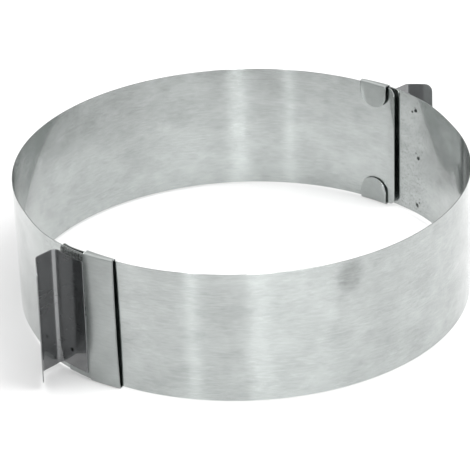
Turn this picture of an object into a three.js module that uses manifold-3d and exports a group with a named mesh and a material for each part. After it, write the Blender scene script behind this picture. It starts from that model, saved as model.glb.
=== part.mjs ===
// Adjustable cake ring: two spring-steel strips whose free ends run in each other's folded guides.
// Millimetres, +Z up. The origin is on the surface that the ring stands on, under its centre.
// +X points through the right handle, -X through the left one, and +Y to the rear strip.
import * as THREE from 'three';
import { mergeVertices, toCreasedNormals } from 'three/addons/utils/BufferGeometryUtils.js';
import Module from 'manifold-3d';

const wasm = await Module();
wasm.setup();

// Strips
const ringRadius = 143;
const stripHeight = 85;
const stripThickness = 0.6;
const overlapStep = 2.8;
const easeLength = 50;
const stripCornerRadius = 5;
const freeEndReach = 6.9;
const endLift = 1.2;
const endCurl = 1.3;
const curlLength = 10.5;
const handleShift = 3.7;

// Guides
const guideThickness = 0.6;
const earLength = 20.4;
const plateLength = 17.6;
const tabHeight = 17.3;
const tabCornerRadius = 10;
const foldRadius = 1.4;
const mouthGap = 1.5;
const mouthBow = 0.8;
const tabClearance = 0.4;
const edgeClearance = 0.6;
const joinOverrun = 0.2;

// Handles
const handleHeight = 79;
const handleDrop = 0.2;
const flippedDrop = 0.8;
const handleThickness = 0.7;
const flangeWidth = 24.5;
const flangeTrim = 2;
const webWidth = 15;
const lipWidth = 17.2;
const bendRadius = 3.4;
const lipCornerRadius = 5.4;

// Fits
const seatGap = 0.3;
const earGap = 0.5;

// Angles and counts
const lipAngle = THREE.MathUtils.degToRad(50);
const leanAngle = THREE.MathUtils.degToRad(1.25);
const stripSteps = 160;
const roundSteps = 6;
const foldSteps = 4;
const wallSteps = 6;
const creaseAngle = THREE.MathUtils.degToRad(32);

// Radii of the faces that lie on each other where the strips overlap. A strip's free end keeps to
// the ring's own radius, and the other strip's handle end is stepped out round it.
const plateInnerFace = ringRadius + overlapStep + seatGap;
const plateOuterFace = plateInnerFace + guideThickness;
const mouthOuterFace = ringRadius + mouthGap + guideThickness;
const tabInnerFace = ringRadius - stripThickness - tabClearance - guideThickness;
const flangeInnerFace = plateOuterFace + seatGap;

// Heights: the ring stands on the guides' bottom folds, and the strips clear them
const foldProud = guideThickness + edgeClearance;
const stripLow = foldProud;
const stripHigh = stripLow + stripHeight;
const guideTop = stripHigh + foldProud;
const handleLow = (guideTop - handleHeight) / 2 - handleDrop;

// Places along a strip, as angles from the middle of its own handle's flange. Anticlockwise from
// there come the guide's ears and their mouth, and clockwise comes the rest of the strip.
const arcAngle = (length) => length / ringRadius;
const handleEndAngle = arcAngle(flangeWidth / 2);
const earStartAngle = arcAngle(flangeWidth / 2 + earGap);
const plateStartAngle = earStartAngle - arcAngle(plateLength);
const shiftAngle = arcAngle(handleShift);
const freeEndAngle = -Math.PI - 2 * shiftAngle + earStartAngle - arcAngle(freeEndReach);

const steel = (color, roughness) => new THREE.MeshStandardMaterial({ color, roughness, metalness: 1 });
const stripSteel = steel(0xc4c6c4, 0.34);
const guideSteel = steel(0xb4b6b5, 0.36);
const handleSteel = steel(0x9b9d9d, 0.34);

const range = (count) => Array.from({ length: count + 1 }, (_, index) => index / count);

// A point of a section that stands upright at an angle round the ring
function ringPoint(angle, radius, z) {
  return new THREE.Vector3(radius * Math.cos(angle), radius * Math.sin(angle), z);
}

// One closed skin through a row of sections that have equal numbers of points.
// A section runs anticlockwise seen from ahead of it, and cap holds its triangles.
function loft(sections, cap) {
  const size = sections[0].length;
  const index = [];
  for (let row = 0; row < sections.length - 1; row += 1) {
    for (let point = 0; point < size; point += 1) {
      const here = row * size + point;
      const next = row * size + ((point + 1) % size);
      index.push(here, here + size, next + size);
      index.push(here, next + size, next);
    }
  }
  const last = (sections.length - 1) * size;
  for (const [a, b, c] of cap) {
    index.push(a, b, c);
    index.push(last + a, last + c, last + b);
  }
  const geometry = new THREE.BufferGeometry().setFromPoints(sections.flat());
  geometry.setIndex(index);
  return geometry;
}

const rectangleCap = [[0, 1, 2], [0, 2, 3]];

// Upright sheet metal: each stop has a point of either face in plan, and the sheet's low and high edges
function uprightSheet(stops) {
  const sections = stops.map(({ right, left, low, high }) => [
    new THREE.Vector3(right.x, right.y, low),
    new THREE.Vector3(right.x, right.y, high),
    new THREE.Vector3(left.x, left.y, high),
    new THREE.Vector3(left.x, left.y, low),
  ]);
  return loft(sections, rectangleCap);
}

// How far along and how far in a rounded corner of a sheet runs, from the sheet's end edge
function roundedCorner(radius) {
  return range(roundSteps).map((share) => {
    const turn = share * Math.PI / 2;
    return { along: radius * (1 - Math.cos(turn)), inset: radius * (1 - Math.sin(turn)) };
  });
}

// Outer face of a strip: a plain arc that eases outwards before its handle end. At its free end it
// lifts off the other guide's tabs, and its tip curls back inwards.
function stripRadius(angle) {
  const { smoothstep } = THREE.MathUtils;
  const stepEnd = -handleEndAngle;
  const stepStart = stepEnd - arcAngle(easeLength);
  const step = overlapStep * smoothstep(angle, stepStart, stepEnd);
  const liftTop = freeEndAngle + arcAngle(freeEndReach);
  const lift = endLift * (1 - smoothstep(angle, liftTop, liftTop + arcAngle(earLength)));
  const curlShare = Math.max(0, 1 - (angle - freeEndAngle) / arcAngle(curlLength));
  return ringRadius + step + lift - endCurl * curlShare ** 2;
}

function stripStop(angle, inset) {
  const radius = stripRadius(angle);
  return {
    right: ringPoint(angle, radius, 0),
    left: ringPoint(angle, radius - stripThickness, 0),
    low: stripLow + inset,
    high: stripHigh - inset,
  };
}

function makeStrip() {
  const corner = roundedCorner(stripCornerRadius);
  const stops = corner.map(({ along, inset }) => stripStop(freeEndAngle + arcAngle(along), inset));
  const bodyStart = freeEndAngle + arcAngle(stripCornerRadius);
  for (const share of range(stripSteps).slice(1)) {
    stops.push(stripStop(THREE.MathUtils.lerp(bodyStart, handleEndAngle, share), 0));
  }
  return uprightSheet(stops);
}

// The guide's section: an upright sheet folded over both edges of the strip, with a tab at each end.
// The same path is walked along its outer skin and back along its inner skin, and its wall bows out.
function foldedSkin(outerFace, tabLength, bow, depth) {
  const radius = foldRadius - depth;
  const near = tabInnerFace + foldRadius;
  const far = outerFace - foldRadius;
  const corners = [
    { r: near, z: foldRadius, start: Math.PI },
    { r: far, z: foldRadius, start: Math.PI * 3 / 2 },
    { r: far, z: guideTop - foldRadius, start: 0 },
    { r: near, z: guideTop - foldRadius, start: Math.PI / 2 },
  ];
  const folds = corners.map(({ r, z, start }) => range(foldSteps).map((share) => {
    const turn = start + share * Math.PI / 2;
    return { r: r + radius * Math.cos(turn), z: z + radius * Math.sin(turn) };
  }));
  const wall = range(wallSteps).slice(1, -1).map((share) => ({
    r: outerFace - depth + bow * 4 * share * (1 - share),
    z: THREE.MathUtils.lerp(foldRadius, guideTop - foldRadius, share),
  }));
  const lowEdge = { r: tabInnerFace + depth, z: tabLength };
  const highEdge = { r: tabInnerFace + depth, z: guideTop - tabLength };
  const [lowNear, lowFar, highFar, highNear] = folds;
  return [lowEdge, ...lowNear, ...lowFar, ...wall, ...highFar, ...highNear, highEdge];
}

function foldedOutline(outerFace, tabLength, bow) {
  const outside = foldedSkin(outerFace, tabLength, bow, 0);
  const inside = foldedSkin(outerFace, tabLength, bow, guideThickness);
  return [...outside, ...inside.reverse()];
}

// The end face of a folded outline: pairs of triangles between its outer and inner skins
function foldedCap(outline) {
  const pairs = outline.length / 2 - 1;
  return range(pairs).slice(1).flatMap((share) => {
    const point = Math.round(share * pairs) - 1;
    const mate = outline.length - 1 - point;
    return [[point, point + 1, mate - 1], [point, mate - 1, mate]];
  });
}

// The folded ears: the channel narrows from the handle to the mouth, where its wall bows out most,
// and the tabs are rounded tongues
function makeEars() {
  const corner = roundedCorner(tabCornerRadius);
  const farCorner = corner.map(({ along, inset }) => ({ along: earLength - along, inset }));
  const stops = [...corner, ...farCorner.reverse()];
  const outlines = stops.map(({ along, inset }) => {
    const share = along / earLength;
    const outerFace = THREE.MathUtils.lerp(plateOuterFace, mouthOuterFace, share);
    return foldedOutline(outerFace, tabHeight - inset, mouthBow * share);
  });
  const sections = outlines.map((outline, row) => {
    const angle = earStartAngle + arcAngle(stops[row].along);
    return outline.map(({ r, z }) => ringPoint(angle, r, z));
  });
  return loft(sections, foldedCap(outlines[0]));
}

// The flat part of the guide, which is welded between the strip and the handle's flange
function makePlate() {
  const end = earStartAngle + arcAngle(joinOverrun);
  const stops = range(roundSteps).map((share) => {
    const angle = THREE.MathUtils.lerp(plateStartAngle, end, share);
    return {
      right: ringPoint(angle, plateOuterFace, 0),
      left: ringPoint(angle, plateInnerFace, 0),
      low: stripLow,
      high: stripHigh,
    };
  });
  return uprightSheet(stops);
}

function toSolid(geometry) {
  const merged = mergeVertices(geometry);
  const vertProperties = new Float32Array(merged.attributes.position.array);
  const triVerts = new Uint32Array(merged.index.array);
  return new wasm.Manifold(new wasm.Mesh({ numProp: 3, vertProperties, triVerts }));
}

function toGeometry(solid) {
  const mesh = solid.getMesh();
  const geometry = new THREE.BufferGeometry();
  geometry.setAttribute('position', new THREE.BufferAttribute(mesh.vertProperties, 3));
  geometry.setIndex(new THREE.BufferAttribute(mesh.triVerts, 1));
  return geometry;
}

function makeGuide() {
  return toGeometry(toSolid(makeEars()).add(toSolid(makePlate())));
}

// The handle is one bent strip: a flange on the ring, a web that stands out and a lip that turns back.
// A pen walks along its ring side, and the sheet's thickness lies to the right of the pen.
// One end of the flange is trimmed shorter than the web and the lip.
function makeHandle() {
  const bend = bendRadius + handleThickness;
  const flangeTurn = Math.asin((flangeWidth / 2 - bend) / (flangeInnerFace + bend));
  const flangeStart = -flangeWidth / 2 / flangeInnerFace;
  const stops = [];
  const drop = (x, y, heading, inset, trim = 0) => stops.push({
    right: { x: x + handleThickness * Math.sin(heading), y: y - handleThickness * Math.cos(heading) },
    left: { x, y },
    low: handleLow + inset,
    high: handleLow + handleHeight - inset - trim,
  });
  for (const share of range(roundSteps)) {
    const angle = THREE.MathUtils.lerp(flangeStart, flangeTurn, share);
    const x = flangeInnerFace * Math.cos(angle);
    drop(x, flangeInnerFace * Math.sin(angle), angle + Math.PI / 2, 0, flangeTrim);
  }
  const bendX = (flangeInnerFace + bend) * Math.cos(flangeTurn);
  const bendY = (flangeInnerFace + bend) * Math.sin(flangeTurn);
  for (const share of range(roundSteps).slice(1)) {
    const heading = (1 - share) * (flangeTurn + Math.PI / 2);
    const trim = flangeTrim * (1 - share);
    drop(bendX - bend * Math.sin(heading), bendY + bend * Math.cos(heading), heading, 0, trim);
  }
  const tangent = bend * Math.tan(lipAngle / 2);
  const lipBendX = flangeInnerFace + webWidth - tangent;
  for (const share of range(roundSteps)) {
    const heading = -share * lipAngle;
    drop(lipBendX - bend * Math.sin(heading), bendY + bend * Math.cos(heading), heading, 0);
  }
  const lipStartX = lipBendX + bend * Math.sin(lipAngle);
  const lipStartY = bendY + bend * Math.cos(lipAngle);
  const lipLength = lipWidth - tangent;
  for (const { along, inset } of roundedCorner(lipCornerRadius).reverse()) {
    const reach = lipLength - along;
    drop(lipStartX + reach * Math.cos(lipAngle), lipStartY - reach * Math.sin(lipAngle), -lipAngle, inset);
  }
  return uprightSheet(stops);
}

const stripGeometry = makeStrip();
const guideGeometry = makeGuide();
const handleGeometry = makeHandle();

// One half of the ring, with its handle's flange in the middle of +X
function makeHalf(bandName, guideName, handleName) {
  const half = new THREE.Group();
  const pieces = [
    [bandName, stripGeometry, stripSteel],
    [guideName, guideGeometry, guideSteel],
    [handleName, handleGeometry, handleSteel],
  ];
  for (const [name, geometry, material] of pieces) {
    const mesh = new THREE.Mesh(toCreasedNormals(geometry, creaseAngle), material);
    mesh.name = name;
    half.add(mesh);
  }
  return half;
}

// Turns a handle about its own middle
function turnHandle(half, name, angle, drop) {
  const handle = half.getObjectByName(name);
  const middle = new THREE.Vector3(0, 0, handleLow + handleHeight / 2);
  handle.rotation.x = angle;
  handle.position.copy(middle).sub(middle.clone().applyEuler(handle.rotation));
  handle.position.z -= drop;
}

// Both handles have been drawn a little towards the front, and lean a little. The rear half's handle
// is upside down, so that both hooks open towards the front.
const frontHalf = makeHalf('front_band', 'right_guide', 'right_handle');
turnHandle(frontHalf, 'right_handle', -leanAngle, 0);
frontHalf.rotation.z = -shiftAngle;

const rearHalf = makeHalf('rear_band', 'left_guide', 'left_handle');
turnHandle(rearHalf, 'left_handle', Math.PI - leanAngle, flippedDrop);
rearHalf.rotation.z = Math.PI + shiftAngle;

const cakeRing = new THREE.Group();
cakeRing.add(frontHalf, rearHalf);

export default cakeRing;
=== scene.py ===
"""Dresses the adjustable cake ring: six bent sheets of brushed steel in a white studio.

Sizes are in millimetres as in the part, and go through MM on their way into a mesh.
Each half is made with the middle of its own handle's flange on +X, and is then turned into place.
"""

import math

import bmesh
import bpy
from mathutils import Matrix, Vector


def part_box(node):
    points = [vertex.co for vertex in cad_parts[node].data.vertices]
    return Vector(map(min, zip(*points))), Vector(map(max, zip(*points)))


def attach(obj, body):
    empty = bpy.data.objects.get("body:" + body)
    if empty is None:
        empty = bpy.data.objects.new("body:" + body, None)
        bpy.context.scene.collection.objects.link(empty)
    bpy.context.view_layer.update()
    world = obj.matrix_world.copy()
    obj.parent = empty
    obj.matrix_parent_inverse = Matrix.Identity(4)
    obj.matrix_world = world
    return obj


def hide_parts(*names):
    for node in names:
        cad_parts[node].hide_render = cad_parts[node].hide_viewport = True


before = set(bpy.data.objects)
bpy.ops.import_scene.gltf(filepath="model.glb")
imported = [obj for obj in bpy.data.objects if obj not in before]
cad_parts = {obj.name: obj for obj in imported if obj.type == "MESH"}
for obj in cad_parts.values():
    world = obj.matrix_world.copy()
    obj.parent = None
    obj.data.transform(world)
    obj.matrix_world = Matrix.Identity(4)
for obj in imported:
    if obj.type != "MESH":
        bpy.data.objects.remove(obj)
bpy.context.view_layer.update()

MM = 0.001
IMAGE_SIZE = 470

# Sizes that the part is driven by
RING_RADIUS = 142.985
STRIP_THICKNESS = 0.6
OVERLAP_STEP = 2.8
EASE_LENGTH = 50
STRIP_CORNER = 5
FREE_END_REACH = 6.9
END_LIFT = 1.2
FOOT_LIFT_SHARE = 0.4
END_CURL = 1.3
FOOT_CURL_SHARE = 0.55
CURL_LENGTH = 10.5
HANDLE_SHIFT = 3.7
GUIDE_THICKNESS = 0.6
EAR_LENGTH = 20.4
PLATE_LENGTH = 17.6
TAB_HEIGHT = 17.3
TAB_CORNER = 10
FOLD_RADIUS = 1.4
MOUTH_GAP = 1.5
MOUTH_BOW = 0.8
TAB_CLEARANCE = 0.4
HANDLE_HEIGHT = 79
HANDLE_DROP = 0.2
FLIPPED_DROP = 0.8
HANDLE_THICKNESS = 0.7
FLANGE_WIDTH = 24.5
FLANGE_TRIM = 2
WEB_WIDTH = 15
LIP_WIDTH = 17.2
BEND_RADIUS = 3.4
LIP_CORNER = 5.4
LIP_ANGLE = math.radians(50)
LEAN_ANGLE = math.radians(1.25)
SEAT_GAP = 0.3
EAR_GAP = 0.5
VISIBLE_SEAT = 0.04

# Heights come from the frame
STRIP_LOW, STRIP_HIGH = (corner.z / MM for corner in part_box("front_band"))
GUIDE_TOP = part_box("right_guide")[1].z / MM
HANDLE_LOW = (GUIDE_TOP - HANDLE_HEIGHT) / 2 - HANDLE_DROP
HANDLE_HIGH = HANDLE_LOW + HANDLE_HEIGHT

# Radii of the faces that lie on each other where the strips overlap
PLATE_INNER = RING_RADIUS + OVERLAP_STEP + SEAT_GAP
PLATE_OUTER = PLATE_INNER + GUIDE_THICKNESS
MOUTH_OUTER = RING_RADIUS + MOUTH_GAP + GUIDE_THICKNESS
TAB_INNER = RING_RADIUS - STRIP_THICKNESS - TAB_CLEARANCE - GUIDE_THICKNESS
FLANGE_INNER = PLATE_OUTER + VISIBLE_SEAT

# Places along a strip, as lengths of arc from the middle of its own handle's flange
HANDLE_END = FLANGE_WIDTH / 2
EAR_START = HANDLE_END + EAR_GAP
PLATE_START = EAR_START - PLATE_LENGTH
FREE_END = (-math.pi * RING_RADIUS) - 2 * HANDLE_SHIFT + EAR_START - FREE_END_REACH

# Grids
STRIP_STEP = 3
ROW_STEP = 4
EAR_STEP = 1.5
CORNER_STEPS = 10
FOLD_STEPS = 8
BEND_STEPS = 10
FLANGE_STEP = 2.4
TAB_STEPS = 6
EDGE_BEVEL = 0.14
BEVEL_SEGMENTS = 2
BEVEL_ANGLE = math.radians(50)

# Spot welds: at which share of each strip's height and how far along it, and their size
REAR_WELDS = ((0.1, 0.5), (0.5, 0.3), (0.89, 0.6))
FRONT_WELDS = ((0.075, -13.2), (0.49, -14.4), (0.89, -11.4))
WELD_RADIUS = 1.3
WELD_REACH = 2.2
WELD_DEPTH = 0.2
WELD_PIT_SHARE = 0.4
WELD_RIM_SHARE = 0.7
WELD_RIM_RISE_SHARE = 0.35

# The grid is close round a weld or a spot: how far from its centre, and how close
CLOSE_REACH = 5.5
WELD_STEP = 0.4

# How far a weld's burn reaches, and its spatter: how far along, how far up and how wide for each
BURN_REACH = 3
BURN_CORE_SHARE = 0.1
SPATTER = ((-2.4, 2.6, 1.7), (2.3, 3, 1.5), (3.1, -2, 2))

# Speckled grime round the welds: its strength, from how far before the flange's middle to how far
# past it, and how softly it ends
GRIME = 0.3
GRIME_REACH = 30
GRIME_END = 1.3
GRIME_EDGE = 8

# A dark spot on each handle's flange: how far along and how high, its radius and strength
FLANGE_SPOT = (12.5, 69.2)
FLANGE_SPOT_RADIUS = 1.6
FLANGE_SPOT_STRENGTH = 1.4

# Handling stains and dark patches: how far along a strip, how high, half width, half height and
# strength. The first of each strip is very wide and faint. It is painted shade that lowers the tone of
# the whole strip, the rear one most towards its top.
STAIN_AND_SHADE_CORE_SHARE = 0.3
FRONT_STAINS_AND_SHADE = (
    # Painted shade: lowers the tone of the whole front strip
    (-225, 43, 420, 180, 0.1),
    # A strong dark patch high on the front strip
    (-266, 76, 13, 17, 0.34),
    (-236, 45, 11, 12, 0.12),
    (-346, 34, 22, 16, 0.1),
    (-355, 50, 45, 80, 0.08),
    (-300, 24, 14, 12, 0.08),
    (-11.5, 76, 7, 12, 0.12),
    (-11, 44, 10, 60, 0.06),
)
REAR_STAINS_AND_SHADE = (
    # Painted shade: darkens the rear strip, most towards its top
    (-250, 100, 250, 95, 0.2),
    (-190, 52, 26, 22, 0.1),
    (-250, 66, 18, 14, 0.1),
    (-330, 40, 30, 20, 0.07),
)

# Painted shade on the upper half of the guides' welded plates, under and just above the handles'
# flanges: how dark it is, and how sharply it ends
PLATE_SHADE = 0.67
PLATE_SHADE_EDGE = 0.3

BRUSHING = "brushing"
BURN_AND_SHADE = "burn_and_shade"
STAIN_AND_SHADE = "stain_and_shade"
UV_UNIT = 100
SIDE_SHIFT = 300

# Noises of the brushed steel: repeats along and across UV_UNIT of the sheet, detail and roughness
LINES = (16, 105, 4, 0.6)
STREAKS = (10, 40, 3, 0.55)
CLOUDS = (3.2, 4.2, 5, 0.6)
SMUDGES = (9, 12, 4, 0.6)
SPECKLE = (80, 60, 3, 0.7)

# How these noises change the steel's tone, gloss, roughness and height
SMUDGE_SHARE = 0.6
BURN_AND_SHADE_SPECKLE = 3.6
BURN_AND_SHADE_LIMIT = 0.6
BURN_AND_SHADE_DARKNESS = 0.95
DARKEST = 0.1
GLOSS_LEVEL = 0.92
GLOSS_CHANGE = 1.5
CLOUD_ROUGHNESS = -0.1
STREAK_ROUGHNESS = 0.06
BUMP_STRENGTH = 0.3
BUMP_DEPTH = 0.00002

# The same for every steel: its coat's roughness, and a quarter turn that lays its brushing along
COAT_ROUGHNESS = 0.08
BRUSHING_TURN = 0.25

# Each steel's colour, roughness, polish, and how much its clouds and brush lines change its tone
STRIP_STEEL = ((0.358, 0.386, 0.376), 0.24, 2.45, 0.45, 0.18)
GUIDE_STEEL = ((0.388, 0.412, 0.404), 0.33, 1.5, 0.4, 0.14)
HANDLE_STEEL = ((0.125, 0.13, 0.133), 0.26, 2.1, 0.3, 0.06)


def lerp(a, b, share):
    return a + (b - a) * share


def smooth(value, start, end):
    share = min(1, max(0, (value - start) / (end - start)))
    return share * share * (3 - 2 * share)


def shares(count):
    return [index / count for index in range(count + 1)]


def spaced(start, end, step):
    """Evenly spaced values from start to end, no further apart than step."""
    count = max(1, math.ceil((end - start) / step))
    return [lerp(start, end, share) for share in shares(count)]


def refined(values, centres):
    """The values, with close ones added round each centre."""
    reach = CLOSE_REACH + WELD_STEP
    kept = [value for value in values if all(abs(value - centre) > reach for centre in centres)]
    start = None
    for centre, following in zip(centres, centres[1:] + [math.inf]):
        start = centre - CLOSE_REACH if start is None else start
        if following - centre > 2 * reach:
            kept += spaced(start, centre + CLOSE_REACH, WELD_STEP)
            start = None
    return sorted(kept)


def on_ring(along, radius):
    angle = along / RING_RADIUS
    return radius * math.cos(angle), radius * math.sin(angle)


def rounded_corner(radius):
    """Pairs of how far along from a sheet's end, and how far in from its edge, a round corner runs."""
    turns = [share * math.pi / 2 for share in shares(CORNER_STEPS)]
    return [(radius * (1 - math.cos(turn)), radius * (1 - math.sin(turn))) for turn in turns]


def sheet_object(name, columns, rows, place, active=None, burn_and_shade=None, stain_and_shade=None):
    """One closed sheet of metal on a grid of columns and rows.

    place gives a grid point's two skin points and its place on the flat sheet, all in millimetres.
    The last two arguments give how strong the dark layers are at a place on the flat sheet: weld scorch,
    grime, blotches and spots, and also painted shade.
    """
    spots = [[place(column, row) for row in rows] for column in columns]
    mesh = bmesh.new()
    uv = mesh.loops.layers.uv.new(BRUSHING)
    marks = [(mesh.verts.layers.float.new(BURN_AND_SHADE), burn_and_shade), (mesh.verts.layers.float.new(STAIN_AND_SHADE), stain_and_shade)]
    made = {}

    def vertex(column, row, side):
        key = (column, row, side)
        if key not in made:
            made[key] = mesh.verts.new([value * MM for value in spots[column][row][side]])
            for layer, strength in marks:
                if strength:
                    made[key][layer] = strength(*spots[column][row][2])
        return made[key]

    def face(corners):
        made_face = mesh.faces.new([vertex(*corner[:3]) for corner in corners])
        made_face.smooth = True
        for loop, (column, row, _, shift) in zip(made_face.loops, corners):
            u, v = spots[column][row][2]
            loop[uv].uv = (u / UV_UNIT, (v + shift) / UV_UNIT)

    def is_active(column, row):
        if not (0 <= column < len(columns) - 1 and 0 <= row < len(rows) - 1):
            return False
        return active is None or active(columns[column], rows[row])

    def rim(a, b):
        face([(*b, 0, 0), (*a, 0, 0), (*a, 1, STRIP_THICKNESS), (*b, 1, STRIP_THICKNESS)])

    for column in range(len(columns) - 1):
        for row in range(len(rows) - 1):
            if not is_active(column, row):
                continue
            low_left, high_left = (column, row), (column, row + 1)
            low_right, high_right = (column + 1, row), (column + 1, row + 1)
            ring = [low_left, low_right, high_right, high_left]
            face([(*corner, 0, 0) for corner in ring])
            face([(*corner, 1, SIDE_SHIFT) for corner in reversed(ring)])
            if not is_active(column, row - 1):
                rim(low_left, low_right)
            if not is_active(column + 1, row):
                rim(low_right, high_right)
            if not is_active(column, row + 1):
                rim(high_right, high_left)
            if not is_active(column - 1, row):
                rim(high_left, low_left)

    data = bpy.data.meshes.new(name)
    mesh.to_mesh(data)
    mesh.free()
    piece = bpy.data.objects.new(name, data)
    bpy.context.scene.collection.objects.link(piece)
    bevel = piece.modifiers.new("edge", "BEVEL")
    bevel.width = EDGE_BEVEL * MM
    bevel.segments = BEVEL_SEGMENTS
    bevel.limit_method = "ANGLE"
    bevel.angle_limit = BEVEL_ANGLE
    bevel.use_clamp_overlap = False
    bevel.harden_normals = True
    return piece


def weld_shape(distance):
    """How deep a spot weld is dented at a distance from its centre: a flat pit with a raised rim."""
    if distance > WELD_REACH:
        return 0
    pit = 1 - smooth(distance, WELD_RADIUS * WELD_PIT_SHARE, WELD_RADIUS)
    rim = smooth(distance, WELD_RADIUS * WELD_RIM_SHARE, WELD_RADIUS)
    rim -= smooth(distance, WELD_RADIUS, WELD_REACH)
    return WELD_DEPTH * (pit - WELD_RIM_RISE_SHARE * rim)


def strip_radius(along, height_share):
    """A strip's outer face: a plain arc that eases outwards before its handle end. At its free end
    it lifts off the other guide's tabs, more so at its top, and its tip curls back inwards."""
    step = OVERLAP_STEP * smooth(along, -HANDLE_END - EASE_LENGTH, -HANDLE_END)
    lift_top = FREE_END + FREE_END_REACH
    lift = END_LIFT * lerp(FOOT_LIFT_SHARE, 1, height_share)
    lift *= 1 - smooth(along, lift_top, lift_top + EAR_LENGTH)
    curl = END_CURL * lerp(FOOT_CURL_SHARE, 1, height_share)
    curl *= max(0, 1 - (along - FREE_END) / CURL_LENGTH) ** 2
    return RING_RADIUS + step + lift - curl


def make_strip(name, welds, stains_and_shade):
    centres = [(along, lerp(STRIP_LOW, STRIP_HIGH, share)) for share, along in welds]
    corner = [FREE_END + along for along, _ in rounded_corner(STRIP_CORNER)]
    end_part = spaced(corner[-1], corner[-1] + EAR_LENGTH, EAR_STEP)[1:]
    body = end_part + spaced(end_part[-1], HANDLE_END, STRIP_STEP)[1:]
    columns = corner + refined(body, sorted(along for along, _ in centres))
    insets = dict(zip(corner, (inset for _, inset in rounded_corner(STRIP_CORNER))))
    row_heights = refined(spaced(STRIP_LOW, STRIP_HIGH, ROW_STEP), [z for _, z in centres])
    rows = [(height - STRIP_LOW) / (STRIP_HIGH - STRIP_LOW) for height in row_heights]

    def dent(along, z):
        return sum(weld_shape(math.dist((along, z), centre)) for centre in centres)

    def place(along, row):
        inset = insets.get(along, 0)
        z = lerp(STRIP_LOW + inset, STRIP_HIGH - inset, row)
        radius = strip_radius(along, row)
        pushed = dent(along, z)
        outer = (*on_ring(along, radius), z)
        inner = (*on_ring(along, radius - STRIP_THICKNESS + pushed), z)
        return outer, inner, (along, z)

    def burn_and_shade(along, z):
        near = math.inf
        for (centre_along, centre_z), (right, up, wide) in zip(centres, SPATTER):
            spot = (centre_along + right, centre_z + up)
            near = min(near, math.dist((along, z), (centre_along, centre_z)) / BURN_REACH)
            near = min(near, math.dist((along, z), spot) / wide)
        weld_area = smooth(along, -GRIME_REACH, GRIME_EDGE - GRIME_REACH)
        weld_area *= 1 - smooth(along, GRIME_END, GRIME_END + GRIME_EDGE)
        return max(1 - smooth(near, BURN_CORE_SHARE, 1), GRIME * weld_area)

    def stain_and_shade(along, z):
        strongest = 0
        for centre, height, wide, tall, strength in stains_and_shade:
            near = math.hypot((along - centre) / wide, (z - height) / tall)
            strongest = max(strongest, strength * (1 - smooth(near, STAIN_AND_SHADE_CORE_SHARE, 1)))
        return strongest

    return sheet_object(name, columns, rows, place, burn_and_shade=burn_and_shade, stain_and_shade=stain_and_shade)


def make_guide(name):
    """A plate with ears that fold over both edges of the strip and end in tongue-shaped tabs."""
    half = GUIDE_THICKNESS / 2
    corner = rounded_corner(TAB_CORNER)
    near_corner = [EAR_START + along for along, _ in corner]
    far_corner = [EAR_START + EAR_LENGTH - along for along, _ in reversed(corner)]
    middle = spaced(near_corner[-1], far_corner[0], EAR_STEP)[1:-1]
    ear_columns = sorted({round(value, 6) for value in near_corner + middle + far_corner})
    plate_columns = spaced(PLATE_START, EAR_START - PLATE_SHADE_EDGE, EAR_STEP)
    columns = plate_columns + ear_columns

    def tab_inset(along):
        from_end = min(along - EAR_START, EAR_START + EAR_LENGTH - along)
        if from_end >= TAB_CORNER:
            return 0
        return TAB_CORNER * (1 - math.sqrt(1 - (1 - max(0, from_end) / TAB_CORNER) ** 2))

    def profile(along):
        """The folded section's middle line, from the low tab's edge to the high one's: radius,
        height and outward direction."""
        share = min(1, max(0, (along - EAR_START) / EAR_LENGTH))
        outer = lerp(PLATE_OUTER, MOUTH_OUTER, share)
        near, far = TAB_INNER + FOLD_RADIUS, outer - FOLD_RADIUS
        tab = TAB_HEIGHT - tab_inset(along)
        bend = FOLD_RADIUS - half
        points = []
        for step in shares(TAB_STEPS)[:-1]:
            points.append((TAB_INNER + half, lerp(tab, FOLD_RADIUS, step), math.pi))
        for step in shares(FOLD_STEPS):
            turn = math.pi + step * math.pi / 2
            points.append((near + bend * math.cos(turn), FOLD_RADIUS + bend * math.sin(turn), turn))
        for step in shares(FOLD_STEPS):
            turn = math.pi * 3 / 2 + step * math.pi / 2
            points.append((far + bend * math.cos(turn), FOLD_RADIUS + bend * math.sin(turn), turn))
        wall_steps = spaced(0, 1, ROW_STEP / GUIDE_TOP)[1:-1]
        for step in wall_steps:
            bow = MOUTH_BOW * share * 4 * step * (1 - step)
            points.append((outer - half + bow, lerp(FOLD_RADIUS, GUIDE_TOP - FOLD_RADIUS, step), 0))
        high = GUIDE_TOP - FOLD_RADIUS
        for step in shares(FOLD_STEPS):
            turn = step * math.pi / 2
            points.append((far + bend * math.cos(turn), high + bend * math.sin(turn), turn))
        for step in shares(FOLD_STEPS):
            turn = math.pi / 2 + step * math.pi / 2
            points.append((near + bend * math.cos(turn), high + bend * math.sin(turn), turn))
        for step in shares(TAB_STEPS)[1:]:
            z = lerp(high, GUIDE_TOP - tab, step)
            points.append((TAB_INNER + half, z, math.pi))
        return points

    sections = {along: profile(along) for along in columns}
    first = sections[columns[0]]
    lengths = [0]
    for (r, z, _), (next_r, next_z, _) in zip(first, first[1:]):
        lengths.append(lengths[-1] + math.hypot(next_r - r, next_z - z))
    rows = list(range(len(first)))
    wall_rows = [row for row in rows if first[row][2] % (2 * math.pi) == 0]

    def place(along, row):
        r, z, turn = sections[along][row]
        out_r, out_z = half * math.cos(turn), half * math.sin(turn)
        outer = (*on_ring(along, r + out_r), z + out_z)
        inner = (*on_ring(along, r - out_r), z - out_z)
        return outer, inner, (along, lengths[row])

    def active(along, row):
        return along >= EAR_START - EDGE_BEVEL or wall_rows[0] <= row < wall_rows[-1]

    # Painted shade: the upper half of the welded plate is darkened, in the same layer as the weld scorch
    def shaded_plate(along, length):
        on_plate = along < EAR_START - EDGE_BEVEL and length > lengths[-1] / 2
        return PLATE_SHADE if on_plate else 0

    return sheet_object(name, columns, rows, place, active, shaded_plate)


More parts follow.
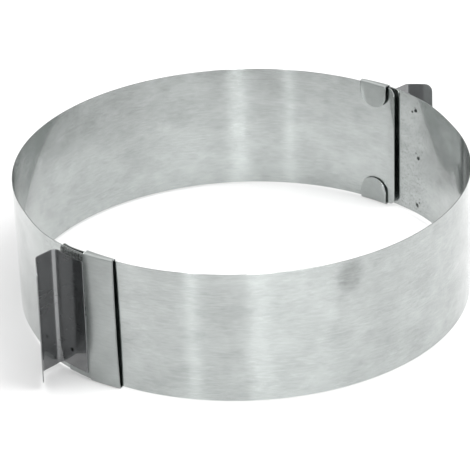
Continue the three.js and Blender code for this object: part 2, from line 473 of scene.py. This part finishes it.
def handle_path():
    """The handle's ring side in plan, from the flange to the lip: place, heading, length so far and
    how much shorter one end is trimmed."""
    bend = BEND_RADIUS + HANDLE_THICKNESS
    flange_turn = math.asin((FLANGE_WIDTH / 2 - bend) / (FLANGE_INNER + bend))
    flange_start = -FLANGE_WIDTH / 2 / FLANGE_INNER
    path = []

    def drop(x, y, heading, trim=0):
        length = 0
        if path:
            last = path[-1]
            length = last[3] + math.hypot(x - last[0], y - last[1])
        if not path or length - path[-1][3] > EDGE_BEVEL:
            path.append((x, y, heading, length, trim))

    flange_length = (flange_turn - flange_start) * FLANGE_INNER
    for length in refined(spaced(0, flange_length, FLANGE_STEP), [FLANGE_SPOT[0]]):
        angle = flange_start + length / FLANGE_INNER
        x, y = FLANGE_INNER * math.cos(angle), FLANGE_INNER * math.sin(angle)
        drop(x, y, angle + math.pi / 2, FLANGE_TRIM)
    bend_x = (FLANGE_INNER + bend) * math.cos(flange_turn)
    bend_y = (FLANGE_INNER + bend) * math.sin(flange_turn)
    for share in shares(BEND_STEPS)[1:]:
        heading = (1 - share) * (flange_turn + math.pi / 2)
        x, y = bend_x - bend * math.sin(heading), bend_y + bend * math.cos(heading)
        drop(x, y, heading, FLANGE_TRIM * (1 - share))
    tangent = bend * math.tan(LIP_ANGLE / 2)
    lip_bend_x = FLANGE_INNER + WEB_WIDTH - tangent
    web_start_x = path[-1][0]
    for share in shares(BEND_STEPS // 2)[1:-1]:
        drop(lerp(web_start_x, lip_bend_x, share), bend_y + bend, 0)
    for share in shares(BEND_STEPS):
        heading = -share * LIP_ANGLE
        drop(lip_bend_x - bend * math.sin(heading), bend_y + bend * math.cos(heading), heading)
    lip_length = LIP_WIDTH - tangent
    start_x, start_y = path[-1][0], path[-1][1]
    round_part = [lip_length - along for along, _ in reversed(rounded_corner(LIP_CORNER))]
    for reach in spaced(0, round_part[0], ROW_STEP)[1:-1] + round_part:
        drop(start_x + reach * math.cos(LIP_ANGLE), start_y - reach * math.sin(LIP_ANGLE), -LIP_ANGLE)
    return path


def make_handle(name):
    path = handle_path()
    end = path[-1][3]
    heights = refined(spaced(HANDLE_LOW, HANDLE_HIGH, ROW_STEP), [FLANGE_SPOT[1]])
    rows = [(height - HANDLE_LOW) / (HANDLE_HIGH - HANDLE_LOW) for height in heights]

    def place(column, row):
        x, y, heading, along, trim = path[column]
        from_end = min(1, (end - along) / LIP_CORNER)
        inset = LIP_CORNER * (1 - math.sqrt(1 - (1 - from_end) ** 2))
        z = lerp(HANDLE_LOW + inset, HANDLE_HIGH - inset - trim, row)
        right = (x + HANDLE_THICKNESS * math.sin(heading), y - HANDLE_THICKNESS * math.cos(heading), z)
        return right, (x, y, z), (along, z)

    def stain_and_shade(along, z):
        near = math.dist((along, z), FLANGE_SPOT)
        return FLANGE_SPOT_STRENGTH * (1 - smooth(near, FLANGE_SPOT_RADIUS / 2, FLANGE_SPOT_RADIUS))

    return sheet_object(name, range(len(path)), rows, place, stain_and_shade=stain_and_shade)


# Materials


class Nodes:
    """A short way to add nodes and links to a material."""

    def __init__(self, material):
        material.use_nodes = True
        self.tree = material.node_tree
        self.tree.nodes.clear()

    def add(self, kind, settings=None, **inputs):
        node = self.tree.nodes.new(kind)
        for key, value in (settings or {}).items():
            setattr(node, key, value)
        for key, value in inputs.items():
            self.put(node, key.replace("_", " "), value)
        return node

    def put(self, node, name, value):
        socket = node.inputs[name]
        if isinstance(value, bpy.types.NodeSocket):
            self.tree.links.new(value, socket)
        else:
            socket.default_value = value

    def math(self, operation, a, b):
        node = self.tree.nodes.new("ShaderNodeMath")
        node.operation = operation
        self.put(node, 0, a)
        self.put(node, 1, b)
        return node.outputs[0]

    def noise(self, vector, along, across, detail, roughness):
        mapping = self.add("ShaderNodeMapping", Vector=vector, Scale=(along, across, 1))
        noise = self.add(
            "ShaderNodeTexNoise", Vector=mapping.outputs[0], Scale=1, Detail=detail,
            Roughness=roughness,
        )
        return noise.outputs["Fac"]


def centred(nodes, value, share):
    """A noise value turned into a small push up or down."""
    return nodes.math("MULTIPLY", nodes.math("SUBTRACT", value, 0.5), share)


def brushed_steel(name, colour, roughness, polish, cloud_share, brush_share):
    """Brushed sheet steel: fine lines along the sheet, cloudy handling marks, and scorched weld spots,
    grime, blotches and spots read from two attributes, which also carry painted shade.

    polish is the coat's index of refraction. The shares say how much the clouds and the brush lines
    change the tone.
    """
    material = bpy.data.materials.new(name)
    nodes = Nodes(material)
    place = nodes.add("ShaderNodeUVMap", {"uv_map": BRUSHING}).outputs[0]
    tangent = nodes.add("ShaderNodeTangent", {"direction_type": "UV_MAP", "uv_map": BRUSHING})

    lines = nodes.noise(place, *LINES)
    streaks = nodes.noise(place, *STREAKS)
    clouds = nodes.noise(place, *CLOUDS)
    smudges = nodes.noise(place, *SMUDGES)
    speckle = nodes.noise(place, *SPECKLE)

    tone = centred(nodes, lines, brush_share * 2)
    tone = nodes.math("ADD", tone, centred(nodes, streaks, brush_share))
    tone = nodes.math("ADD", tone, centred(nodes, clouds, cloud_share))
    tone = nodes.math("ADD", tone, centred(nodes, smudges, cloud_share * SMUDGE_SHARE))
    # The first attribute holds weld scorch, spatter and grime, and the painted shade on the guides'
    # plates
    burn_and_shade = nodes.add("ShaderNodeAttribute", {"attribute_name": BURN_AND_SHADE}).outputs["Fac"]
    edge = nodes.math("ADD", burn_and_shade, centred(nodes, speckle, BURN_AND_SHADE_SPECKLE))
    burnt_and_shaded = nodes.math("MULTIPLY", nodes.math("GREATER_THAN", edge, BURN_AND_SHADE_LIMIT), burn_and_shade)
    # The second attribute holds stains and spots, and the painted shade that darkens each strip as a
    # whole
    stain_and_shade = nodes.add("ShaderNodeAttribute", {"attribute_name": STAIN_AND_SHADE}).outputs["Fac"]
    blotch = nodes.math("MULTIPLY", stain_and_shade, nodes.math("ADD", smudges, speckle))
    marks = nodes.math("ADD", nodes.math("MULTIPLY", burnt_and_shaded, BURN_AND_SHADE_DARKNESS), blotch)
    level = nodes.math("SUBTRACT", nodes.math("ADD", tone, 1.0), marks)
    level = nodes.math("MAXIMUM", level, DARKEST)
    gloss = nodes.math("ADD", nodes.math("MULTIPLY", tone, GLOSS_CHANGE), GLOSS_LEVEL)
    gloss = nodes.math("SUBTRACT", gloss, marks)
    gloss = nodes.math("MAXIMUM", nodes.math("MINIMUM", gloss, 1.0), 0.0)
    tinted = nodes.add("ShaderNodeVectorMath", {"operation": "SCALE"})
    tinted.inputs[0].default_value = colour
    nodes.put(tinted, "Scale", level)

    rough = nodes.math("ADD", centred(nodes, clouds, CLOUD_ROUGHNESS), roughness)
    rough = nodes.math("ADD", rough, centred(nodes, streaks, STREAK_ROUGHNESS))
    bump = nodes.add("ShaderNodeBump", Strength=BUMP_STRENGTH, Distance=BUMP_DEPTH, Height=lines)
    shader = nodes.add(
        "ShaderNodeBsdfPrincipled", Base_Color=tinted.outputs[0], Metallic=1.0, Roughness=rough,
        Anisotropic=1.0, Anisotropic_Rotation=BRUSHING_TURN, Tangent=tangent.outputs[0],
        Normal=bump.outputs[0], Coat_Weight=gloss, Coat_Roughness=COAT_ROUGHNESS, Coat_IOR=polish,
    )
    nodes.add("ShaderNodeOutputMaterial", Surface=shader.outputs[0])
    return material


# The object


def about_middle(angle, drop):
    """Turns a handle about its own middle and lowers it."""
    middle = Matrix.Translation((0, 0, (HANDLE_LOW + HANDLE_HIGH) / 2 * MM))
    lower = Matrix.Translation((0, 0, -drop * MM))
    return lower @ middle @ Matrix.Rotation(angle, 4, "X") @ middle.inverted()


SHIFT_TURN = HANDLE_SHIFT / RING_RADIUS
FRONT_TURN = Matrix.Rotation(-SHIFT_TURN, 4, "Z")
REAR_TURN = Matrix.Rotation(math.pi + SHIFT_TURN, 4, "Z")
UPRIGHT = about_middle(-LEAN_ANGLE, 0)
UPSIDE_DOWN = about_middle(math.pi - LEAN_ANGLE, FLIPPED_DROP)

strip_steel = brushed_steel("strip_brushed_steel", *STRIP_STEEL)
guide_steel = brushed_steel("guide_brushed_steel", *GUIDE_STEEL)
handle_steel = brushed_steel("handle_brushed_steel", *HANDLE_STEEL)


def dress(piece, turn, material, body, node):
    piece.data.transform(turn)
    piece.data.materials.append(material)
    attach(piece, body)
    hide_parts(node)


def dress_half(turn, handle_turn, welds, stains_and_shade, body, band, guide, handle):
    dress(make_strip(band + "_sheet", welds, stains_and_shade), turn, strip_steel, body, band)
    dress(make_guide(guide + "_sheet"), turn, guide_steel, body, guide)
    hook = make_handle(handle + "_sheet")
    dress(hook, turn @ handle_turn, handle_steel, body, handle)


FRONT_NODES = ("front_half", "front_band", "right_guide", "right_handle")
REAR_NODES = ("rear_half", "rear_band", "left_guide", "left_handle")
dress_half(FRONT_TURN, UPRIGHT, FRONT_WELDS, FRONT_STAINS_AND_SHADE, *FRONT_NODES)
dress_half(REAR_TURN, UPSIDE_DOWN, REAR_WELDS, REAR_STAINS_AND_SHADE, *REAR_NODES)

# Studio

VIEW_AZIMUTH = math.radians(-43.25)
VIEW_ELEVATION = math.radians(29.2)
VIEW_ROLL = math.radians(-2.01)
VIEW_DISTANCE = 1.6107
FOCAL_PIXELS = 2517.7
CENTRE_PIXEL_X = 245.29
CENTRE_PIXEL_Y = 282.48
SENSOR_WIDTH = 36
CLIP_START = 0.05
CLIP_END = 50

FLOOR_SIZE = 8
FLOOR_COLOUR = (0.88, 0.88, 0.88, 1)
FLOOR_GLOW = 0.65
FLOOR_GLOW_SHARE = 0.3
WHITE = (1, 1, 1, 1)

# The room's light at the horizon and overhead, and the upward parts of a direction between which it
# changes from one to the other
HORIZON_LIGHT = 0.15
ZENITH_LIGHT = 1.7
HORIZON_TOP = 0.2
ZENITH_START = 0.85

# Bright panels low in the room: the upward part of a direction where they end, how softly, and for
# each its start, end and softness in degrees to the right of the camera, and its extra light
PANEL_TOP = 0.3
PANEL_TOP_SOFTNESS = 0.1
PANELS = (
    (17, 60, 4, 0.85),
    (60, 135, 12, 0.55),
)

# Upright lamps: degrees to the right of the camera, width and brightness. One set lights only the
# front strip with the left guide and handle, and the other only the other three pieces.
LAMP_DISTANCE = 1.4
LAMP_LOW = 0.3
LAMP_HIGH = 1.5
FRONT_LAMPS = (
    ("front_wide_lamp", 6.4, 0.24, 17),
    ("front_thin_lamp", -24.8, 0.045, 56),
    ("front_soft_lamp", 27, 0.75, 7),
)
REAR_LAMPS = (
    ("rear_wide_lamp", 0.6, 0.21, 17),
    ("rear_thin_lamp", -27, 0.028, 66),
    ("rear_soft_lamp", 32, 0.8, 3),
)
FRONT_LIT = ("front_band", "left_guide", "left_handle")
REAR_LIT = ("rear_band", "right_guide", "right_handle")

# A soft lamp for the floor, which only the rear strip's half shades: degrees to the right of the
# camera and above the floor, distance, size and how much it adds to the floor
FLOOR_LAMP = (80, 58, 1.6, 1.2, 0.75)
FLAG_SIDES = 96


def direction(azimuth, elevation):
    flat = math.cos(elevation)
    return Vector((math.sin(azimuth) * flat, -math.cos(azimuth) * flat, math.sin(elevation)))


def make_camera():
    """Looks from the photographed side, with the middle of the ring's foot on its own pixel."""
    data = bpy.data.cameras.new("camera")
    data.sensor_width = SENSOR_WIDTH
    data.lens = FOCAL_PIXELS / IMAGE_SIZE * SENSOR_WIDTH
    data.clip_start = CLIP_START
    data.clip_end = CLIP_END
    camera = bpy.data.objects.new("camera", data)
    bpy.context.scene.collection.objects.link(camera)
    back = direction(VIEW_AZIMUTH, VIEW_ELEVATION)
    target = Vector((0, 0, STRIP_LOW * MM))
    camera.location = target + back * VIEW_DISTANCE
    straight = (-back).to_track_quat("-Z", "Y").to_matrix() @ Matrix.Rotation(VIEW_ROLL, 3, "Z")
    half = IMAGE_SIZE / 2
    ray = Vector((CENTRE_PIXEL_X - half, half - CENTRE_PIXEL_Y, -FOCAL_PIXELS)).normalized()
    aim = ray.rotation_difference(Vector((0, 0, -1))).to_matrix()
    camera.rotation_mode = "QUATERNION"
    camera.rotation_quaternion = (straight @ aim).to_quaternion()
    bpy.context.scene.camera = camera


def seen(nodes):
    """1 for camera rays and for what metal reflects, and 0 for the rest."""
    path = nodes.add("ShaderNodeLightPath")
    return nodes.math("MAXIMUM", path.outputs["Is Camera Ray"], path.outputs["Is Glossy Ray"])


def make_floor():
    bpy.ops.mesh.primitive_plane_add(size=FLOOR_SIZE, location=(0, 0, 0))
    floor = bpy.context.object
    floor.name = "floor"
    material = bpy.data.materials.new("white_floor")
    nodes = Nodes(material)
    matte = nodes.add("ShaderNodeBsdfDiffuse", Color=FLOOR_COLOUR)
    glow = nodes.add("ShaderNodeEmission", Color=WHITE, Strength=FLOOR_GLOW)
    share = nodes.math("MULTIPLY", seen(nodes), FLOOR_GLOW_SHARE)
    mixed = nodes.add("ShaderNodeMixShader")
    nodes.put(mixed, 0, share)
    nodes.put(mixed, 1, matte.outputs[0])
    nodes.put(mixed, 2, glow.outputs[0])
    nodes.add("ShaderNodeOutputMaterial", Surface=mixed.outputs[0])
    floor.data.materials.append(material)


def make_world():
    """White to the camera. As a light, a room that is dim at the horizon and bright overhead, with
    bright panels low in it on the camera's right."""
    world = bpy.data.worlds.new("studio")
    bpy.context.scene.world = world
    nodes = Nodes(world)
    toward = nodes.add("ShaderNodeTexCoord").outputs["Generated"]
    parts = nodes.add("ShaderNodeSeparateXYZ", Vector=toward).outputs
    azimuth = nodes.math("ARCTAN2", parts[0], nodes.math("MULTIPLY", parts[1], -1.0))

    def ramp(value, start, end, low, high):
        scaled = nodes.add("ShaderNodeMapRange", {"interpolation_type": "SMOOTHSTEP"}, Value=value)
        for key, limit in (("From Min", start), ("From Max", end), ("To Min", low), ("To Max", high)):
            nodes.put(scaled, key, limit)
        return scaled.outputs[0]

    def panel(start, end, soft, extra):
        start, end, soft = (math.radians(angle) for angle in (start, end, soft))
        rise = ramp(azimuth, VIEW_AZIMUTH + start - soft, VIEW_AZIMUTH + start + soft, 0, 1)
        fall = ramp(azimuth, VIEW_AZIMUTH + end - soft, VIEW_AZIMUTH + end + soft, 1, 0)
        return nodes.math("MULTIPLY", nodes.math("MULTIPLY", rise, fall), extra)

    room = ramp(parts[2], HORIZON_TOP, ZENITH_START, HORIZON_LIGHT, ZENITH_LIGHT)
    panel_low = PANEL_TOP - PANEL_TOP_SOFTNESS
    panel_high = PANEL_TOP + PANEL_TOP_SOFTNESS
    for start, end, soft, extra in PANELS:
        low_part = ramp(parts[2], panel_low, panel_high, 1, 0)
        glow = nodes.math("MULTIPLY", panel(start, end, soft, extra), low_part)
        room = nodes.math("ADD", room, glow)
    room = nodes.math("MAXIMUM", room, 0.0)
    path = nodes.add("ShaderNodeLightPath")
    to_camera = path.outputs["Is Camera Ray"]
    light = nodes.add("ShaderNodeBackground", Color=WHITE)
    nodes.put(light, "Strength", room)
    white = nodes.add("ShaderNodeBackground", Color=WHITE, Strength=1)
    mixed = nodes.add("ShaderNodeMixShader")
    nodes.put(mixed, 0, to_camera)
    nodes.put(mixed, 1, light.outputs[0])
    nodes.put(mixed, 2, white.outputs[0])
    nodes.add("ShaderNodeOutputWorld", Surface=mixed.outputs[0])


def make_lamp(name, azimuth, width, brightness, lit):
    """An upright panel of light that faces the ring and lights only the named sheets."""
    data = bpy.data.lights.new(name, "AREA")
    data.shape = "RECTANGLE"
    data.size = width
    data.size_y = LAMP_HIGH - LAMP_LOW
    data.energy = brightness * math.pi * data.size * data.size_y
    lamp = bpy.data.objects.new(name, data)
    bpy.context.scene.collection.objects.link(lamp)
    out = direction(VIEW_AZIMUTH + math.radians(azimuth), 0)
    lamp.location = out * LAMP_DISTANCE + Vector((0, 0, (LAMP_LOW + LAMP_HIGH) / 2))
    lamp.rotation_mode = "QUATERNION"
    lamp.rotation_quaternion = (-out).to_track_quat("-Z", "Y")
    lamp.visible_camera = False
    receivers = bpy.data.collections.new(name + "_lit")
    for node in lit:
        receivers.objects.link(bpy.data.objects[node + "_sheet"])
    lamp.light_linking.receiver_collection = receivers


def make_floor_lamp(azimuth, elevation, distance, size, share, flag):
    data = bpy.data.lights.new("floor_lamp", "AREA")
    data.shape = "DISK"
    data.size = size
    data.energy = share * (math.pi * distance) ** 2
    lamp = bpy.data.objects.new("floor_lamp", data)
    bpy.context.scene.collection.objects.link(lamp)
    out = direction(VIEW_AZIMUTH + math.radians(azimuth), math.radians(elevation))
    lamp.location = out * distance
    lamp.rotation_mode = "QUATERNION"
    lamp.rotation_quaternion = (-out).to_track_quat("-Z", "Y")
    lamp.visible_camera = False
    lamp.visible_glossy = False
    shading = bpy.data.collections.new("shading")
    shading.objects.link(flag)
    for name in REAR_NODES[1:]:
        shading.objects.link(bpy.data.objects[name + "_sheet"])
    lamp.light_linking.blocker_collection = shading


def make_foot_flag():
    """A low band that stops light under the strips' raised edges. Nothing but the floor lamp sees it."""
    radius = (RING_RADIUS - STRIP_THICKNESS) * MM
    bpy.ops.mesh.primitive_cylinder_add(
        vertices=FLAG_SIDES, radius=radius, depth=STRIP_LOW * MM * 2, end_fill_type="NOTHING"
    )
    flag = bpy.context.object
    flag.name = "foot_flag"
    flag.visible_camera = False
    flag.visible_glossy = False
    flag.visible_diffuse = False
    return flag


make_camera()
make_floor_lamp(*FLOOR_LAMP, make_foot_flag())
make_floor()
make_world()
for lamp in FRONT_LAMPS:
    make_lamp(*lamp, FRONT_LIT)
for lamp in REAR_LAMPS:
    make_lamp(*lamp, REAR_LIT)
bpy.context.scene.view_settings.view_transform = "Standard"
